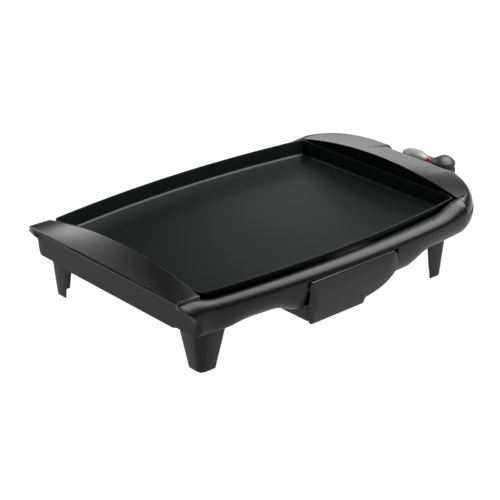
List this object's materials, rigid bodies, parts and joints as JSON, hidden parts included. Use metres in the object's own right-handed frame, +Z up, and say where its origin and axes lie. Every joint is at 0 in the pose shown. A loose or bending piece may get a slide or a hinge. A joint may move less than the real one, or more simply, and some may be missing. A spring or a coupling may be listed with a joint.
{
  "type": "electric griddle",
  "caption": "Table-top electric griddle: bowed non-stick plate between raised end covers on four legs, with a pull-out drip tray and a plug-in thermostat control.",
  "frame": {"origin": "middle of the footprint's bounding box, on the table", "axes": "+X along the griddle towards the thermostat control, -Y towards the drip tray's front, +Z up"},
  "size_m": [0.59, 0.3592, 0.1225],
  "materials": {
    "body_plastic": "fine-grained satin black moulding",
    "cover_plastic": "satin black moulding, slightly glossier than the housing",
    "non_stick_plate": "cast aluminium with a dark green-grey non-stick coat",
    "galvanised_steel": "zinc-coated sheet",
    "polished_aluminium": "bright rolled sheet",
    "element_sheath": "heat-darkened steel tube",
    "ceramic": "unglazed off-white ceramic",
    "brass": "turned brass",
    "screw_steel": "plated steel",
    "rubber": "matt black rubber",
    "smoke_window": "smoked translucent plastic",
    "red_lens": "clear red plastic",
    "lamp_glass": "clear glass bulb"
  },
  "bodies": {
    "base": {"housing": "body_plastic", "leg_front_left": "body_plastic", "leg_rear_left": "body_plastic", "leg_front_right": "body_plastic", "leg_rear_right": "body_plastic", "left_end_cover": "cover_plastic", "right_end_cover": "cover_plastic", "base_pan": "galvanised_steel", "tray_runner_left": "galvanised_steel", "tray_runner_right": "galvanised_steel", "element_clip_left": "galvanised_steel", "element_clip_front": "galvanised_steel", "element_clip_rear": "galvanised_steel", "element_clip_right": "galvanised_steel", "heat_reflector": "polished_aluminium", "heating_element": "element_sheath", "plate_support_front_left": "ceramic", "plate_support_rear_left": "ceramic", "plate_support_front_right": "ceramic", "plate_support_rear_right": "ceramic", "terminal_block": "ceramic", "terminal_pin_front": "brass", "terminal_pin_rear": "brass", "leg_screw_front_left": "screw_steel", "leg_screw_rear_left": "screw_steel", "leg_screw_front_right": "screw_steel", "leg_screw_rear_right": "screw_steel", "pan_screw_front_left": "screw_steel", "pan_screw_rear_left": "screw_steel", "pan_screw_front_right": "screw_steel", "pan_screw_rear_right": "screw_steel", "foot_pad_front_left": "rubber", "foot_pad_rear_left": "rubber", "foot_pad_front_right": "rubber", "foot_pad_rear_right": "rubber"},
    "plate": {"griddle_plate": "non_stick_plate"},
    "tray": {"drip_tray": "body_plastic", "drip_tray_front": "cover_plastic"},
    "control": {"control_lower_shell": "body_plastic", "control_upper_shell": "body_plastic", "indicator_window": "smoke_window", "pilot_lens": "red_lens", "pilot_lamp": "lamp_glass", "thermostat_switch": "ceramic", "temperature_probe": "screw_steel", "contact_socket_front": "brass", "contact_socket_rear": "brass", "control_screw_front": "screw_steel", "control_screw_rear": "screw_steel"},
    "knob": {"control_knob": "body_plastic", "knob_spindle": "screw_steel"}
  },
  "joints": [
    {"name": "plate_lift", "type": "slide", "parent": "base", "child": "plate", "axis": [0, 0, 1], "range_m": [0, 0.06]},
    {"name": "tray_pull", "type": "slide", "parent": "base", "child": "tray", "axis": [0, -1, 0], "range_m": [0, 0.15]},
    {"name": "control_unplug", "type": "slide", "parent": "base", "child": "control", "axis": [1, 0, 0], "range_m": [0, 0.06]},
    {"name": "knob_turn", "type": "hinge", "parent": "control", "child": "knob", "pos_m": [0.2775, -0.04012, 0.102], "axis": [0, 0, 1], "range_deg": [-270, 0]}
  ]
}
